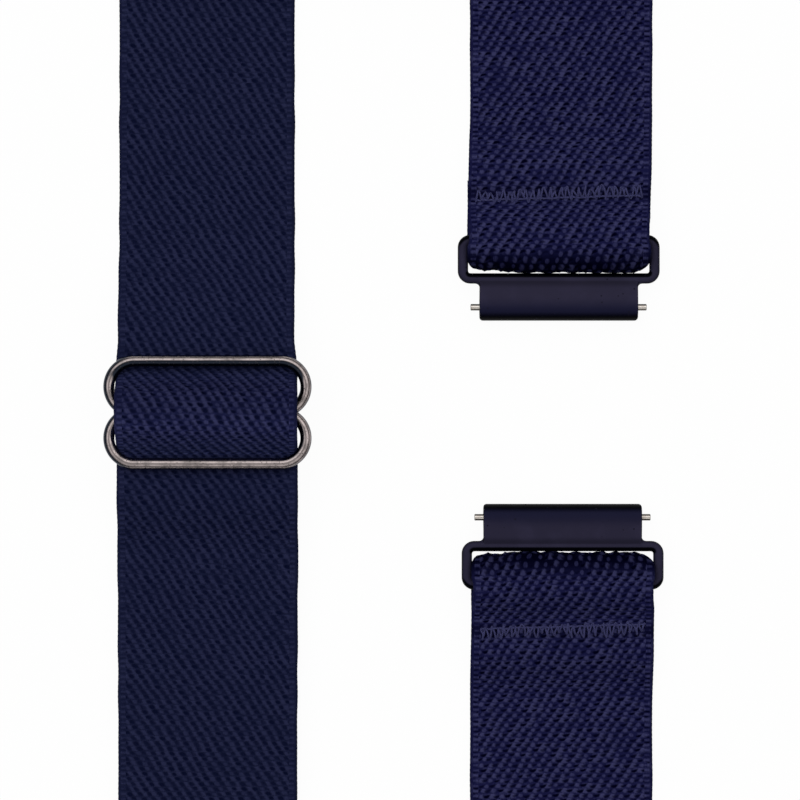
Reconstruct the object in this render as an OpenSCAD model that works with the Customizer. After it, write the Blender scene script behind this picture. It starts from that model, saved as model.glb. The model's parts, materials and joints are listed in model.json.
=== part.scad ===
// Elastic loop watch strap, laid out flat in two columns of webbing.
// The left column runs through a double loop slider. The right column
// ends in two quick release connectors that face each other across the
// gap for the watch. Both turns between the columns are soft mitre
// folds. Millimetres, +Z up, origin on the table under the middle.

/* [Webbing] */
// Width of the woven elastic webbing
web_w = 22; // [20:0.5:24]
// Thickness of the webbing
web_t = 1.4; // [1:0.1:1.6]
// Bevel that rounds the webbing's edges
web_edge = 0.35; // [0.1:0.05:0.45]
// Clearance between stacked webbing, and between webbing and bars
lay_gap = 0.1; // [0.05:0.01:0.2]

/* [Layout] */
// Distance from the middle to the centre of the right column
column_x = 21.7; // [20:0.1:30]
// How far each connector lies off its column's centre line
end_skew = 0.24; // [0:0.02:0.5]
// Distance from the middle to where each turn starts
turn_y = 51.6; // [48:0.2:70]
// Radius of the soft folds, at the middle of the webbing
fold_r = 1.9; // [1.5:0.1:4]
// Distance from the middle to the tail's free end
tail_y = 49.6; // [30:0.2:50]
// Space between the two connectors, where the watch goes
watch_gap = 22.58; // [18:0.1:30]

/* [Slider] */
// Diameter of the slider's wire
wire_d = 1.3; // [1:0.05:1.5]
// Distance from the slider's centre bar to each outer bar
bar_pitch = 6.3; // [6.1:0.05:8]
// How far the slider reaches past each edge of the webbing
slider_reach = 1.72; // [1.6:0.02:3]
// Length of webbing folded back over the centre bar and sewn
slider_fold_back = 9.2; // [8:0.1:14]

/* [Connector] */
// Width between the watch's lugs
lug_w = 20; // [18:0.5:20.5]
// Clearance between the connector's body and each lug
lug_gap = 0.25; // [0.1:0.05:0.5]
// Thickness of the ring's round bar
ring_d = 1.3; // [1.1:0.05:1.5]
// Clearance between the webbing's edge and the ring's side
ring_gap = 0.15; // [0.1:0.05:0.5]
// Depth of the ring along the strap, outside
ring_depth = 6.03; // [5.6:0.05:8]
// Outer corner radius of the ring
ring_corner = 1.55; // [1:0.05:2]
// Length of the body past the ring
body_len = 4.55; // [4:0.05:7]
// Radius of the body's rounded end, around the spring bar
barrel_r = 1.66; // [1.5:0.02:1.8]
// Corner radius of the body's end, seen from above
body_corner = 0.4; // [0.1:0.05:0.6]
// Fillet between the body and the ring
neck_fillet = 0.5; // [0.2:0.05:0.8]
// Space between the fold's end and the ring's inner edge
fold_play = 0.61; // [0.3:0.05:1]

/* [Spring bar] */
// Outer diameter of the spring bar's tube
tube_d = 1.8; // [1.6:0.05:2]
// Wall of the tube
tube_wall = 0.2; // [0.15:0.01:0.25]
// Diameter of the tips that enter the lugs
tip_d = 0.8; // [0.7:0.05:0.9]
// How far each tip stands out of the body
tip_out = 1.1; // [0.8:0.05:1.3]
// How far each tip can be pushed in
tip_travel = 1.2; // [0.9:0.05:1.4]
// Running clearance around the tips, plungers and tube
run_gap = 0.03; // [0.02:0.01:0.05]
// Diameter of the release knob's head
knob_d = 1.2; // [1:0.05:1.4]
// Diameter of the coil spring's wire
coil_wire = 0.18; // [0.12:0.01:0.2]
// Turns of the coil spring
coil_turns = 16; // [8:1:20]

/* [Seams] */
// Diameter of the sewing thread
thread_d = 0.3; // [0.2:0.05:0.4]
// Length of one zigzag stitch along the seam
stitch_pitch = 1; // [0.7:0.05:1.6]
// Height of the zigzag
stitch_h = 1.5; // [0.8:0.1:2.4]
// Distance from the ring's bar to the seam
seam_back = 6; // [5.5:0.1:9]
// Margin from a seam to the cut end of the webbing
seam_margin = 1.4; // [1:0.1:3]
// Margin from the seam's ends to the webbing's edges
seam_side = 0.85; // [0.5:0.05:3]
// Rise of the seam from one end to the other
seam_slope = 0.6; // [0:0.1:1]

/* [Hidden] */
$fn = 48;
navy = "#1b2350";
thread_blue = "#3a3f68";
dark_paint = "#23263d";
steel = "#b4aeae";

// Layer levels: distance between the middles of two stacked layers
layer = web_t + lay_gap;
table_z = web_t / 2;
half_w = web_w / 2;

// Slider: radii of the paths round its bars, and its height
wire_r = wire_d / 2;
loop_r = bar_pitch / 2;
slider_w = web_w + 2 * slider_reach;
loop_x = slider_w / 2 - wire_r - loop_r;
wrap_r = wire_r + lay_gap + web_t / 2;
hump_r = wrap_r + layer;
// Where the wire's curved end crosses the webbing's edge, and how wide
// the wire is there when cut along the strap
edge_run = sqrt(loop_r ^ 2 - (half_w - loop_x) ^ 2);
edge_y = loop_r + edge_run;
edge_cut = wire_r * (0.55 + 0.45 * loop_r / edge_run);
under_r = edge_cut + lay_gap + web_t / 2;
ramp_angle = asin((hump_r + under_r) / edge_y);
slider_z = table_z + 2 * layer + under_r;
tail_z = slider_z - under_r;
// Half width of the webbing gathered between the slider's curved ends
wrap_half = loop_x + 0.45;
// Lower leg: it lifts off the table with this radius and reaches the wrap
lift_r = 2.5;
lift_y = edge_y - 0.9;
leg_rise = slider_z - table_z - lift_r;
leg_angle = acos((wrap_r - lift_r) / norm([lift_y, leg_rise])) - atan2(lift_y, leg_rise);

// Connector: hinge axis on the ring's outer bar, body towards -Y
ring_r = ring_d / 2;
ring_w = web_w + 2 * (ring_gap + ring_d);
ring_bend = ring_corner - ring_r;
ring_half = ring_w / 2 - ring_r;
ring_back = ring_depth - ring_d;
body_w = lug_w - 2 * lug_gap;
body_end = ring_back + ring_r + body_len;
barrel_y = body_end - barrel_r;
eye_r = ring_r + lay_gap + web_t / 2;
ring_z = eye_r + web_t / 2;
ring_y = watch_gap / 2 + body_end;
barrel_z = barrel_r - ring_z;
fold_y = ring_y - ring_back + ring_r + fold_play + eye_r + web_t / 2;

// Columns, centred so that the slider and the lower ring reach as far
upper_x = column_x - end_skew;
lower_x = column_x + end_skew;
left_x = slider_w / 2 - lower_x - ring_w / 2;
turn_mid = turn_y + half_w;
fold_shift = PI * fold_r / sqrt(2);
seam_y = ring_y + seam_back;

// Spring bar
tube_r = tube_d / 2;
tip_r = tip_d / 2;
bore_r = tube_r + run_gap;
tube_half = body_w / 2 - 0.1;
tube_cap = 0.4;
collar_r = tube_r - tube_wall - run_gap;
collar_x = tube_half - tube_cap - run_gap;
plain_collar = 0.6;
lever_collar = 2.75;
spigot_r = 0.26;
spigot_len = 1.2;
tip_x = body_w / 2 + tip_out;
// Each tip's thicker stem, which ends just inside the body's end
stem_r = min(tip_r + 0.16, collar_r - 0.05);
stem_end = body_w / 2 - 0.06;
knob_x = collar_x - 1.55;
knob_r = knob_d / 2;
neck_r = 0.25;
knob_gap = 0.12;
slot_gap = 0.12;
coil_r = spigot_r + coil_wire / 2 + 0.1;

// One point of a path across the table: place along Y, height, normal
function arc(cy, cz, r, from, to, n, side) = [
    for (i = [0:n]) let (a = from + (to - from) * i / n)
        [cy + r * cos(a), cz + r * sin(a), side * cos(a), side * sin(a)]
];
// An S curve between two levels, with the face up, first point left out
function ramp(y0, z0, y1, z1, n) = [
    for (i = [1:n])
        let (f = i / n, s = (z1 - z0) / (y1 - y0) * PI / 2 * sin(180 * f), l = norm([s, 1]))
            [y0 + (y1 - y0) * f, z0 + (z1 - z0) * (1 - cos(180 * f)) / 2, -s / l, 1 / l]
];
function flat(y, z, up = 1) = [[y, z, 0, up]];

// A path point made a section: centre, half width vector, normal
function across(path, x, half) = [
    for (p = path) [[x, p[0], p[1]], [half, 0, 0], [0, p[2], p[3]]]
];

// Fold of the webbing round a connector's bar, from its cut end to the
// start of the turn
function end_path() = concat(
    flat(seam_y + seam_margin, table_z, -1),
    flat(fold_y + 3, table_z, -1),
    arc(fold_y, ring_z, eye_r, -90, -270, 10, 1),
    flat(ring_y + 0.4, ring_z + eye_r),
    ramp(ring_y + 0.4, ring_z + eye_r, seam_y - 1.4, table_z + layer, 6),
    flat(seam_y + seam_margin + 0.4, table_z + layer),
    ramp(seam_y + seam_margin + 0.4, table_z + layer, seam_y + seam_margin + 6, table_z, 6),
    flat(turn_y - 1, table_z)
);

// Two soft mitre folds that carry the webbing from column to column
function turn(x0, x1, n) = concat(
    [for (i = [0:n]) let (a = 180 * i / n, u = fold_shift * i / n, d = fold_r * sin(a) / sqrt(2))
        [[x0 - u + d, turn_mid + u + d, table_z + fold_r * (1 - cos(a))],
         [half_w, -half_w, 0],
         [-sin(a) / sqrt(2), -sin(a) / sqrt(2), cos(a)]]],
    [for (i = [0:n]) let (a = 180 * i / n, u = fold_shift * i / n, d = fold_r * sin(a) / sqrt(2))
        [[x1 + fold_shift - u - d, turn_mid + fold_shift - u + d, table_z + fold_r * (1 + cos(a))],
         [-half_w, -half_w, 0],
         [sin(a) / sqrt(2), -sin(a) / sqrt(2), -cos(a)]]]
);

// Under, over and under the slider's bars, and on to the free tail
function weave_path() = concat(
    flat(turn_y - 1, table_z),
    flat(edge_y + 17, table_z),
    ramp(edge_y + 17, table_z, edge_y + 2.6, tail_z, 8),
    arc(edge_y, slider_z, under_r, -90, -90 - ramp_angle, 4, -1),
    arc(0, slider_z, hump_r, 90 - ramp_angle, 90 + ramp_angle, 12, 1),
    arc(-edge_y, slider_z, under_r, ramp_angle - 90, -90, 4, -1),
    flat(-slider_fold_back - 0.6, tail_z),
    ramp(-slider_fold_back - 0.6, tail_z, -slider_fold_back - 8, table_z + layer, 6),
    flat(-tail_y, table_z + layer)
);

// Round the centre bar from below and back, drawn with +Y and -Y swapped
function wrap_path() = concat(
    flat(turn_y - 1, table_z),
    arc(lift_y, table_z + lift_r, lift_r, -90, -90 - leg_angle, 4, -1),
    arc(0, slider_z, wrap_r, -90 - leg_angle, -270 - ramp_angle, 14, -1),
    arc(edge_y, slider_z, under_r + layer, -90 - ramp_angle, -90, 5, 1),
    flat(slider_fold_back, table_z + layer, -1)
);
function wrap_width(y) =
    wrap_half + (half_w - wrap_half) * min(1, max(0, (y - 1) / 4));

// Sweeps the webbing's edged cross-section through a list of sections
module ribbon(sections) {
    t = web_t / 2;
    e = web_edge;
    corners = [[1, t, e], [1, t - e, 0], [1, e - t, 0], [1, -t, e],
               [-1, -t, e], [-1, e - t, 0], [-1, t - e, 0], [-1, t, e]];
    points = [
        for (s = sections, c = corners)
            s[0] + c[0] * s[1] * (1 - c[2] / norm(s[1])) + c[1] * s[2]
    ];
    n = len(corners);
    last = (len(sections) - 1) * n;
    faces = concat(
        [for (i = [0:len(sections) - 2], j = [0:n - 1]) let (a = i * n + j, b = i * n + (j + 1) % n)
            each [[a, b, a + n], [b, b + n, a + n]]],
        [for (j = [1:n - 2]) each [[0, j + 1, j], [last, last + j, last + j + 1]]]
    );
    polyhedron(points = points, faces = faces);
}

// Tube along a list of points, with the given number of sides
module tube_along(route, r, sides) {
    count = len(route);
    heading = [for (i = [0:count - 1])
        let (v = route[min(count - 1, i + 1)] - route[max(0, i - 1)]) v / norm(v)];
    points = [
        for (i = [0:count - 1])
            let (side = cross(heading[i], [0.02, 0.03, 1]), u = side / norm(side), v = cross(heading[i], u))
                for (k = [0:sides - 1]) route[i] + r * (cos(360 * k / sides) * u + sin(360 * k / sides) * v)
    ];
    last = (count - 1) * sides;
    faces = concat(
        [for (i = [0:count - 2], k = [0:sides - 1])
            let (a = i * sides + k, b = i * sides + (k + 1) % sides)
                each [[a, a + sides, b], [b, a + sides, b + sides]]],
        [for (k = [1:sides - 2]) each [[0, k, k + 1], [last, last + k + 1, last + k]]]
    );
    polyhedron(points = points, faces = faces);
}

// Zigzag thread lying at height z along a seam centred on x, y
module zigzag(x, y, z, half) {
    steps = 2 * floor(half * 2 / stitch_pitch);
    route = [
        for (i = [0:steps]) let (f = i / steps)
            [x - half + 2 * half * f,
             y + (i % 2 == 0 ? -1 : 1) * stitch_h / 2 + seam_slope * (f - 0.5),
             z]
    ];
    tube_along(route, thread_d / 2, 5);
}
module needle_thread(x, y, top, half) {
    color(thread_blue) zigzag(x, y, top + thread_d / 6, half);
}
module bobbin_thread(x, y, half) {
    color(thread_blue) zigzag(x, y, thread_d / 2 + 0.01, half);
}
seam_half = half_w - seam_side;
seam_top = 2 * web_t + lay_gap;
slider_seam_y = -slider_fold_back + seam_margin / 2;

module upper_web() {
    color(navy) ribbon(concat(
        across(end_path(), upper_x, half_w),
        turn(upper_x, left_x, 10),
        across(weave_path(), left_x, -half_w)
    ));
}
module lower_web() {
    color(navy) mirror([0, 1, 0]) ribbon(concat(
        across(end_path(), lower_x, half_w),
        turn(lower_x, left_x, 10),
        [for (p = wrap_path()) [[left_x, p[0], p[1]], [-wrap_width(p[0]), 0, 0], [0, p[2], p[3]]]]
    ));
}

// One straight bar along X, centred
module bar_x(length, r) {
    rotate([0, 90, 0]) cylinder(h = length, r = r, center = true);
}
// Two wire ovals that share the centre bar
module slider() {
    color(steel) translate([left_x, 0, slider_z]) {
        for (s = [-1, 0, 1]) translate([0, s * bar_pitch, 0]) bar_x(2 * loop_x, wire_r);
        for (sx = [0, 1], sy = [-1, 1])
            mirror([sx, 0, 0]) translate([loop_x, sy * loop_r, 0])
                rotate([0, 0, -90]) rotate_extrude(angle = 180) translate([loop_r, 0]) circle(r = wire_r);
    }
}

// Places a connector's pieces, drawn round its hinge axis
module at_upper() { translate([upper_x, ring_y, ring_z]) children(); }
module at_lower() { translate([lower_x, -ring_y, ring_z]) rotate([0, 0, 180]) children(); }
// Places pieces on the spring bar's axis
module on_bar() { translate([0, -barrel_y, barrel_z]) children(); }

module ring() {
    straight_x = 2 * (ring_half - ring_bend);
    straight_y = ring_back - 2 * ring_bend;
    for (y = [0, -ring_back]) translate([0, y, 0]) bar_x(straight_x, ring_r);
    for (s = [-1, 1])
        translate([s * ring_half, -ring_back / 2, 0]) rotate([90, 0, 0])
            cylinder(h = straight_y, r = ring_r, center = true);
    for (sx = [0, 1], sy = [0, 1])
        mirror([sx, 0, 0]) translate([0, -ring_back / 2, 0]) mirror([0, sy, 0])
            translate([straight_x / 2, straight_y / 2, 0])
                rotate_extrude(angle = 90) translate([ring_bend, 0]) circle(r = ring_r);
}
module body_outline() {
    inner = body_w / 2 - body_corner;
    length = body_len + ring_r;
    translate([-inner, -body_end]) square([2 * inner, length]);
    translate([-body_w / 2, body_corner - body_end]) square([body_w, length - body_corner]);
    for (s = [-1, 1]) translate([s * inner, body_corner - body_end]) circle(r = body_corner);
}
module body_profile() {
    neck = ring_r - 0.05;
    translate([-barrel_y, barrel_z]) circle(r = barrel_r);
    polygon([[-barrel_y, barrel_z + barrel_r], [-ring_back, neck],
             [-ring_back, -neck], [-barrel_y, barrel_z - barrel_r]]);
}
module neck_fillets() {
    y = -ring_back - ring_r - neck_fillet;
    for (s = [0, 1]) mirror([s, 0, 0])
        linear_extrude(height = ring_r, center = true) difference() {
            translate([body_w / 2 - 0.1, y]) square([neck_fillet + 0.1, neck_fillet + ring_r / 2]);
            translate([body_w / 2 + neck_fillet, y]) circle(r = neck_fillet);
        }
}
module connector() {
    window = knob_d + tip_travel + 2 * knob_gap;
    color(dark_paint) difference() {
        union() {
            ring();
            neck_fillets();
            intersection() {
                rotate([90, 0, 90]) linear_extrude(height = body_w, center = true) body_profile();
                linear_extrude(height = 4 * barrel_r, center = true) body_outline();
            }
        }
        on_bar() bar_x(body_w + 2, bore_r);
        on_bar() translate([-knob_x - knob_r - knob_gap, -knob_r - knob_gap, -barrel_r - 1])
            cube([window, knob_d + 2 * knob_gap, barrel_r + 1 - tube_r / 2]);
    }
}
module bar_tube() {
    color(steel) on_bar() difference() {
        bar_x(2 * tube_half, tube_r);
        bar_x(2 * (tube_half - tube_cap), tube_r - tube_wall);
        bar_x(2 * tube_half + 1, stem_r + run_gap);
        translate([-knob_x - neck_r - slot_gap, -neck_r - slot_gap, -tube_r - 1])
            cube([2 * (neck_r + slot_gap) + tip_travel, 2 * (neck_r + slot_gap), tube_r + 1]);
    }
}
// A tip, its stem and collar, and the spigot that holds the coil,
// pointing to +X
module plunger(collar) {
    color(steel) on_bar() rotate([0, 90, 0]) {
        translate([0, 0, stem_end - 0.1]) cylinder(h = tip_x - stem_end + 0.1, r = tip_r);
        translate([0, 0, collar_x - 0.1]) cylinder(h = stem_end - collar_x + 0.1, r = stem_r);
        translate([0, 0, collar_x - collar]) cylinder(h = collar, r = collar_r);
        translate([0, 0, collar_x - collar - spigot_len]) cylinder(h = spigot_len + 0.1, r = spigot_r);
    }
}
module release_knob() {
    head = barrel_r - tube_r - 0.17;
    color(steel) on_bar() translate([-knob_x, 0, -tube_r - 0.05]) {
        translate([0, 0, -head]) cylinder(h = head, r = knob_r);
        cylinder(h = tube_r + 0.05 - collar_r + 0.2, r = neck_r);
    }
}
// The coil's centre line, from the lever plunger to the plain plunger
coil_from = -collar_x + lever_collar + coil_wire / 2 + 0.02;
coil_to = collar_x - plain_collar - coil_wire / 2 - 0.02;
coil_route = [
    for (i = [0:8 * coil_turns]) let (a = 45 * i)
        [coil_from + (coil_to - coil_from) * i / (8 * coil_turns), coil_r * cos(a), coil_r * sin(a)]
];
coil_gap = min([for (i = [0:len(coil_route) - 9]) norm(coil_route[i + 8] - coil_route[i])]) - coil_wire;
echo(least_gap_between_the_coil_turns = coil_gap);
module bar_coil() {
    color(steel) on_bar() tube_along(coil_route, coil_wire / 2, 6);
}

module upper_needle_thread() { needle_thread(upper_x, seam_y, seam_top, seam_half); }
module upper_bobbin_thread() { bobbin_thread(upper_x, seam_y, seam_half); }
module lower_needle_thread() { rotate([0, 0, 180]) needle_thread(-lower_x, seam_y, seam_top, seam_half); }
module lower_bobbin_thread() { rotate([0, 0, 180]) bobbin_thread(-lower_x, seam_y, seam_half); }
module slider_needle_thread() { needle_thread(left_x, slider_seam_y, seam_top - thread_d / 2, seam_half); }
module slider_bobbin_thread() { bobbin_thread(left_x, slider_seam_y, seam_half); }

module upper_connector() { at_upper() connector(); }
module upper_bar_tube() { at_upper() bar_tube(); }
module upper_bar_coil() { at_upper() bar_coil(); }
module upper_lever_plunger() { at_upper() mirror([1, 0, 0]) plunger(lever_collar); }
module upper_plain_plunger() { at_upper() plunger(plain_collar); }
module upper_release_knob() { at_upper() release_knob(); }
module lower_connector() { at_lower() connector(); }
module lower_bar_tube() { at_lower() bar_tube(); }
module lower_bar_coil() { at_lower() bar_coil(); }
module lower_lever_plunger() { at_lower() mirror([1, 0, 0]) plunger(lever_collar); }
module lower_plain_plunger() { at_lower() plunger(plain_collar); }
module lower_release_knob() { at_lower() release_knob(); }

upper_web();
lower_web();
slider();
upper_needle_thread();
upper_bobbin_thread();
lower_needle_thread();
lower_bobbin_thread();
slider_needle_thread();
slider_bobbin_thread();
upper_connector();
upper_bar_tube();
upper_bar_coil();
upper_lever_plunger();
upper_plain_plunger();
upper_release_knob();
lower_connector();
lower_bar_tube();
lower_bar_coil();
lower_lever_plunger();
lower_plain_plunger();
lower_release_knob();
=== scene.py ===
"""Looks of an elastic loop watch strap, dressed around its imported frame.

Lengths are in millimetres here and become metres when a mesh is placed. The origin lies on the
table under the middle of the strap, +Y runs along both columns of webbing and +Z points up.
"""

import json
import logging
import math
from collections.abc import Iterator
from contextlib import contextmanager
from dataclasses import dataclass, field
from enum import Enum

import bpy
import numpy as np
from mathutils import Matrix

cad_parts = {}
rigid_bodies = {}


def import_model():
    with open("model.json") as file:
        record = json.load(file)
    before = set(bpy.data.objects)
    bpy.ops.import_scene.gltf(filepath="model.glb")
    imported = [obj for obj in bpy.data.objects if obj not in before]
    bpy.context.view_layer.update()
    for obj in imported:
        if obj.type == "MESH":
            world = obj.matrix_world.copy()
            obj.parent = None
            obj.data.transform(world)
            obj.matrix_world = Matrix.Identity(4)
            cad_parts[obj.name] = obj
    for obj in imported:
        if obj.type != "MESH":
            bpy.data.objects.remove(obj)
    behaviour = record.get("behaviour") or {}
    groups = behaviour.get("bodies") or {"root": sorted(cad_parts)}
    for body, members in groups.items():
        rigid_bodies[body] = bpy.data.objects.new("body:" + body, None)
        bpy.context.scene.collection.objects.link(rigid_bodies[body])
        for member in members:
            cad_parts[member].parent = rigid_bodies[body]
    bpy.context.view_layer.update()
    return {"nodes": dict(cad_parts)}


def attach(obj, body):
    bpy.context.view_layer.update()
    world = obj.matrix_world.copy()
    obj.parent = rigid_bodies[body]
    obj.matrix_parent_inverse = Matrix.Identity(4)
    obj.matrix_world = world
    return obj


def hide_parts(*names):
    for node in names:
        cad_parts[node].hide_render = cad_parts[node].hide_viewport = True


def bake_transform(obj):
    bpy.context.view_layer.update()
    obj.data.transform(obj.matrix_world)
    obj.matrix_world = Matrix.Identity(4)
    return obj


log = logging.getLogger("strap")

MM = 0.001

Array = np.ndarray
Piece = bpy.types.Object
Material = bpy.types.Material
Socket = bpy.types.NodeSocket
Colour = tuple[float, float, float]
Drifts = tuple[tuple[float, float, int], ...]


@dataclass(frozen=True)
class Layout:
    """Sizes that several pieces share, as the part's source has them."""

    half_w: float = 11.0
    web_t: float = 1.4
    lay_gap: float = 0.1
    layer: float = 1.5
    table_z: float = 0.7
    second_z: float = 2.2
    upper_x: float = 21.46
    lower_x: float = 21.94
    left_x: float = -21.67
    turn_start: float = 50.6
    turn_mid: float = 62.6
    fold_r: float = 1.9
    tail_y: float = 49.6
    wire_r: float = 0.65
    bar_pitch: float = 6.3
    loop_x: float = 8.92
    wrap_r: float = 1.45
    hump_r: float = 2.95
    slider_fold_back: float = 9.2
    lift_r: float = 2.5
    eye_r: float = 1.45
    ring_y: float = 21.22
    ring_z: float = 2.15
    fold_y: float = 19.90
    body_y: float = 17.12
    barrel_y: float = 8.27
    barrel_z: float = -0.49
    seam_back: float = 6.0
    seam_y: float = 27.22
    stitch_y: float = 26.92
    seam_margin: float = 1.4
    bobbin_z: float = 0.14
    pressed: float = 0.15

    @property
    def edge_y(self) -> float:
        """Where the slider's curved ends cross the webbing's edges."""
        loop_r = self.bar_pitch / 2
        return loop_r + math.sqrt(loop_r**2 - (self.half_w - self.loop_x) ** 2)

    @property
    def under_r(self) -> float:
        """Radius of the upper webbing's middle under the slider's outer bars."""
        slant = self.bar_pitch / 2 / (self.edge_y - self.bar_pitch / 2)
        return self.wire_r * (0.55 + 0.45 * slant) + self.lay_gap + self.web_t / 2

    @property
    def ramp_angle(self) -> float:
        """Slope of the webbing between an outer bar and the centre bar, in degrees."""
        return math.degrees(math.asin((self.hump_r + self.under_r) / self.edge_y))

    @property
    def slider_z(self) -> float:
        """Height of the slider's wire."""
        return self.table_z + 2 * self.layer + self.under_r


LAYOUT = Layout()


class Side(Enum):
    """Which of the two lengths of webbing a piece belongs to."""

    UPPER = "upper"
    LOWER = "lower"

    @property
    def sign(self) -> int:
        """1 where the piece is drawn as it lies, -1 where +Y and -Y are swapped."""
        return 1 if self is Side.UPPER else -1

    @property
    def centre_x(self) -> float:
        """Middle of this side's connector column."""
        return LAYOUT.upper_x if self is Side.UPPER else LAYOUT.lower_x


class Lean(Enum):
    """Which way the face's twill lines lean, followed from the webbing's sewn end."""

    RISING = 1
    FALLING = -1


class Tip(Enum):
    """Which of a spring bar's two plungers a piece belongs to."""

    LEVER = "lever"
    PLAIN = "plain"


def deselect() -> None:
    """Deselects every object, so that an operator acts on what is made next alone."""
    for obj in bpy.context.view_layer.objects.selected:
        obj.select_set(False)


def make_active(obj: Piece) -> None:
    """Selects one object alone and makes it the active one.

    Args:
        obj: The object.
    """
    deselect()
    obj.select_set(True)
    bpy.context.view_layer.objects.active = obj


@contextmanager
def editing(obj: Piece) -> Iterator[None]:
    """Opens an object in edit mode with all of it selected, and closes it again.

    Args:
        obj: The object.

    Yields:
        Nothing, while the object is open.
    """
    make_active(obj)
    bpy.ops.object.mode_set(mode="EDIT")
    bpy.ops.mesh.select_all(action="SELECT")
    yield
    bpy.ops.object.mode_set(mode="OBJECT")


def outward(obj: Piece) -> None:
    """Merges an object's doubles and turns its faces outwards.

    Args:
        obj: The object.
    """
    with editing(obj):
        bpy.ops.mesh.remove_doubles(threshold=1e-7)
        bpy.ops.mesh.normals_make_consistent(inside=False)


def place_in_mesh(obj: Piece) -> None:
    """Moves an object's place, turn and scale into its mesh."""
    make_active(obj)
    bpy.ops.object.transform_apply(location=True, rotation=True, scale=True)


def apply_modifier(obj: Piece, kind: str, **settings: object) -> None:
    """Adds a modifier, sets it and applies it.

    Args:
        obj: The object to change.
        kind: The modifier's type, such as SOLIDIFY.
        **settings: Values of the modifier's own properties.
    """
    make_active(obj)
    modifier = obj.modifiers.new(kind.title(), kind)
    for name, value in settings.items():
        setattr(modifier, name, value)
    bpy.ops.object.modifier_apply(modifier=modifier.name)


def soften(piece: Piece, voxel: float, rounds: int) -> None:
    """Melts a piece into one skin of small cubes and smooths its edges in some rounds."""
    apply_modifier(piece, "REMESH", mode="VOXEL", voxel_size=voxel)
    apply_modifier(piece, "SMOOTH", factor=0.5, iterations=rounds)


def dress(piece: Piece, name: str, material: Material, degrees: float) -> Piece:
    """Names a modelled piece, gives it its finish and shades it smooth.

    Args:
        piece: The piece.
        name: Its name.
        material: Its finish.
        degrees: Edges that turn by more than this stay sharp.

    Returns:
        The piece.
    """
    piece.name = piece.data.name = name
    piece.data.materials.append(material)
    make_active(piece)
    bpy.ops.object.shade_smooth_by_angle(angle=math.radians(degrees))
    return piece


def mesh_points(obj: Piece) -> Array:
    """Reads an object's vertices.

    Args:
        obj: The object.

    Returns:
        Rows of x, y and z.
    """
    flat = np.empty(len(obj.data.vertices) * 3, np.float32)
    obj.data.vertices.foreach_get("co", flat)
    return flat.reshape(-1, 3).astype(float)


def set_mesh_points(obj: Piece, points: Array) -> None:
    """Moves an object's vertices to rows of x, y and z."""
    obj.data.vertices.foreach_set("co", points.astype(np.float32).ravel())
    obj.data.update()


def ease(value: Array, low: float, high: float) -> Array:
    """Goes smoothly from 0 where a value is low to 1 where it is high."""
    share = np.clip((value - low) / (high - low), 0, 1)
    return share * share * (3 - 2 * share)


def drift(u: Array, v: Array, cell: float, seed: int) -> Array:
    """Smooth random field from -1 to 1 over a plane, the same at every run.

    Args:
        u: First coordinate of each point.
        v: Second coordinate of each point.
        cell: Distance over which the field changes.
        seed: Picks the field.

    Returns:
        One value for each point.
    """
    grid = np.random.default_rng(seed).uniform(-1, 1, (256, 256))
    a, b = u / cell, v / cell
    i, j = np.floor(a).astype(int), np.floor(b).astype(int)
    f, g = a - i, b - j
    f, g = f * f * (3 - 2 * f), g * g * (3 - 2 * g)
    corner = [[grid[(i + di) % 256, (j + dj) % 256] for dj in (0, 1)] for di in (0, 1)]
    near, far = (row[0] * (1 - g) + row[1] * g for row in corner)
    return near * (1 - f) + far * f


def drifts(u: Array, v: Array, parts: Drifts) -> Array:
    """Adds up random fields, each given by how far it reaches, its cell and its seed."""
    return sum(reach * drift(u, v, cell, seed) for reach, cell, seed in parts)


@dataclass(frozen=True)
class Pebble:
    """Proportions of one pebble of the weave and of the hollow beside it, where the webbing's
    colour paints shade as a dark mark.

    Widths are shares of the distance between two ribs, heights are shares of a row, and each is
    half of the whole.
    """

    lump_wide: float
    lump_tall: float
    mark_wide: float
    mark_tall: float
    mark_rise: float
    mark_bow: float
    mark_lift: float
    shear: float

    def shape(self, rib: Array, row: Array) -> Array:
        """Gives the weave's height at some places.

        Args:
            rib: Place across, counted in ribs.
            row: Place along, counted in rows.

        Returns:
            1 on top of a pebble, 0 between them and -1 in the middle of a mark.
        """
        number = np.round(row)
        up = row - number
        slid = rib - number / 3 - self.shear * up
        from_lump, from_mark = slid - np.round(slid), slid - np.floor(slid) - 0.5
        lump = ease(np.hypot(from_lump / self.lump_wide, up / self.lump_tall), 1.1, 0.2)
        line = self.mark_lift + self.mark_rise * from_mark - self.mark_bow * from_mark**2
        mark = ease(np.hypot(from_mark / self.mark_wide, (up - line) / self.mark_tall), 1.1, 0.3)
        return lump - mark


CRISP = Pebble(0.34, 0.56, 0.42, 0.34, 0.47, 2.0, 0.10, 0.0)
SOFT = Pebble(0.41, 0.62, 0.34, 0.50, 0.25, 0.3, 0.0, 0.20)


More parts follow.
